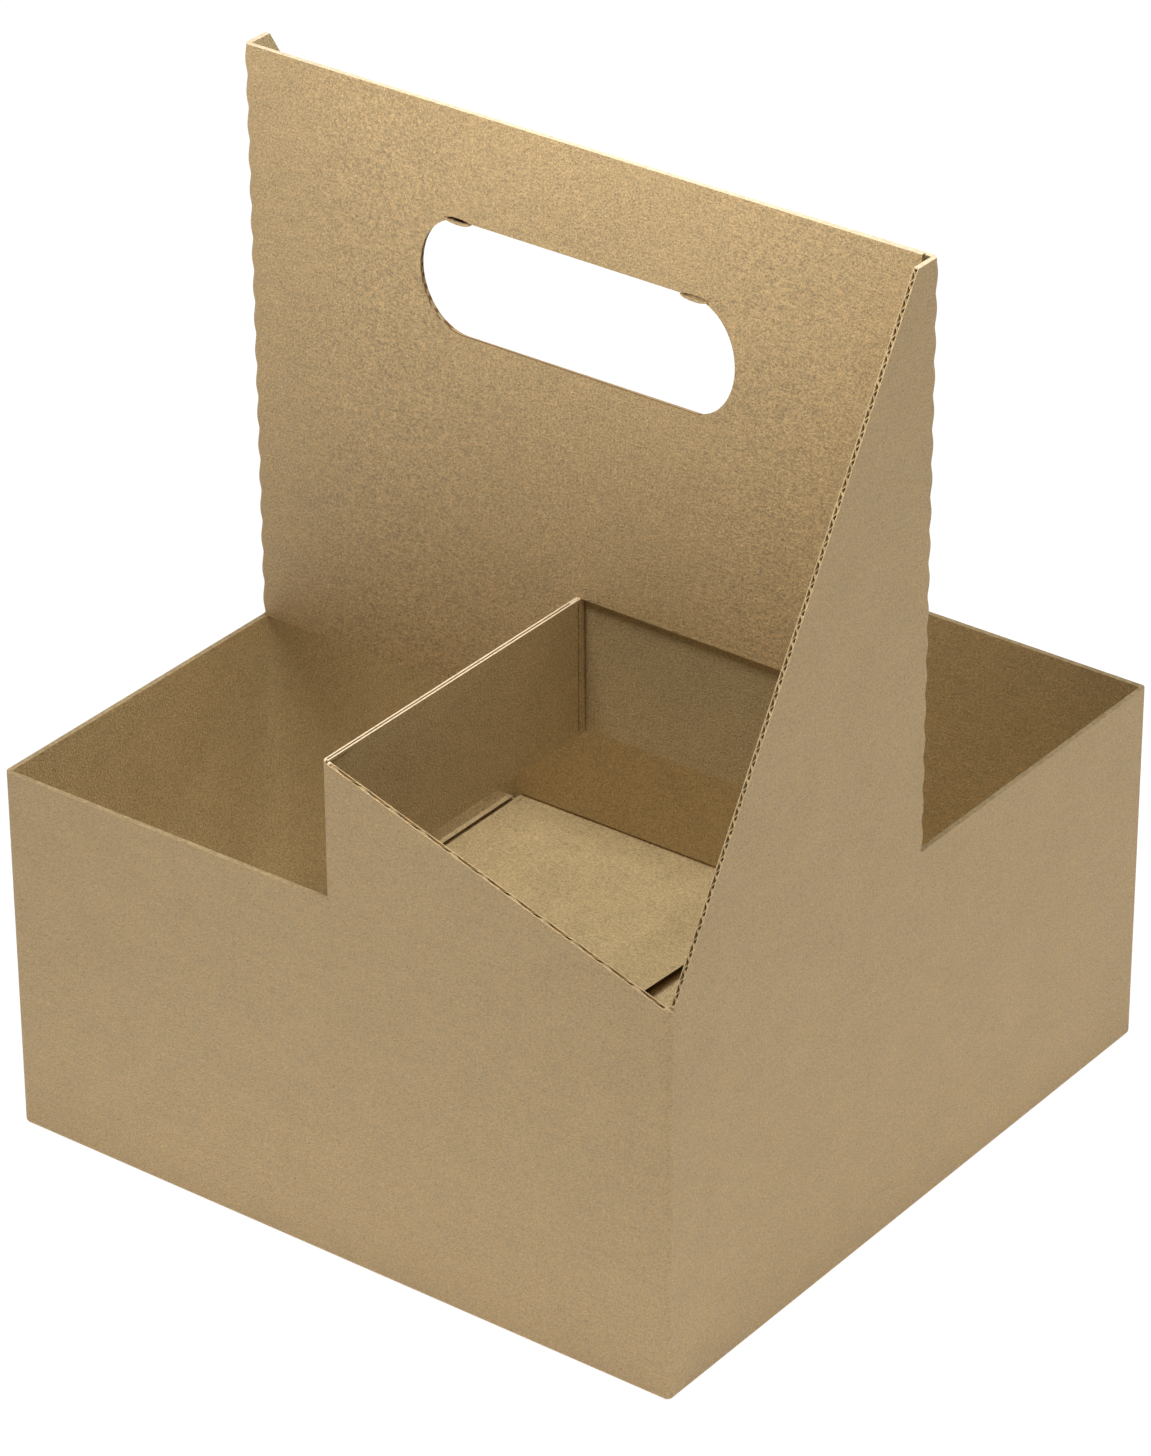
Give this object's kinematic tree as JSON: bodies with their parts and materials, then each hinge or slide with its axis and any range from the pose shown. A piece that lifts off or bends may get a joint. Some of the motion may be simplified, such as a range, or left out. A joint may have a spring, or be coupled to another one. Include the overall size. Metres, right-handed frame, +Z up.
{
  "type": "cup carrier",
  "caption": "Folded corrugated cup carrier with open cells between low walls, a slotted double-layer handle on two tapering wings, and folded-out divider bands.",
  "frame": {"origin": "centre of the square footprint, on the surface that the carrier stands on", "axes": "+Z up; +X along the stepped front wall and along the handle, to its winged end; +Y from the front wall to the back wall"},
  "size_m": [0.203, 0.203, 0.262],
  "materials": {
    "board": "matt uncoated kraft"
  },
  "bodies": {
    "root": {"carrier": "board"}
  },
  "joints": []
}
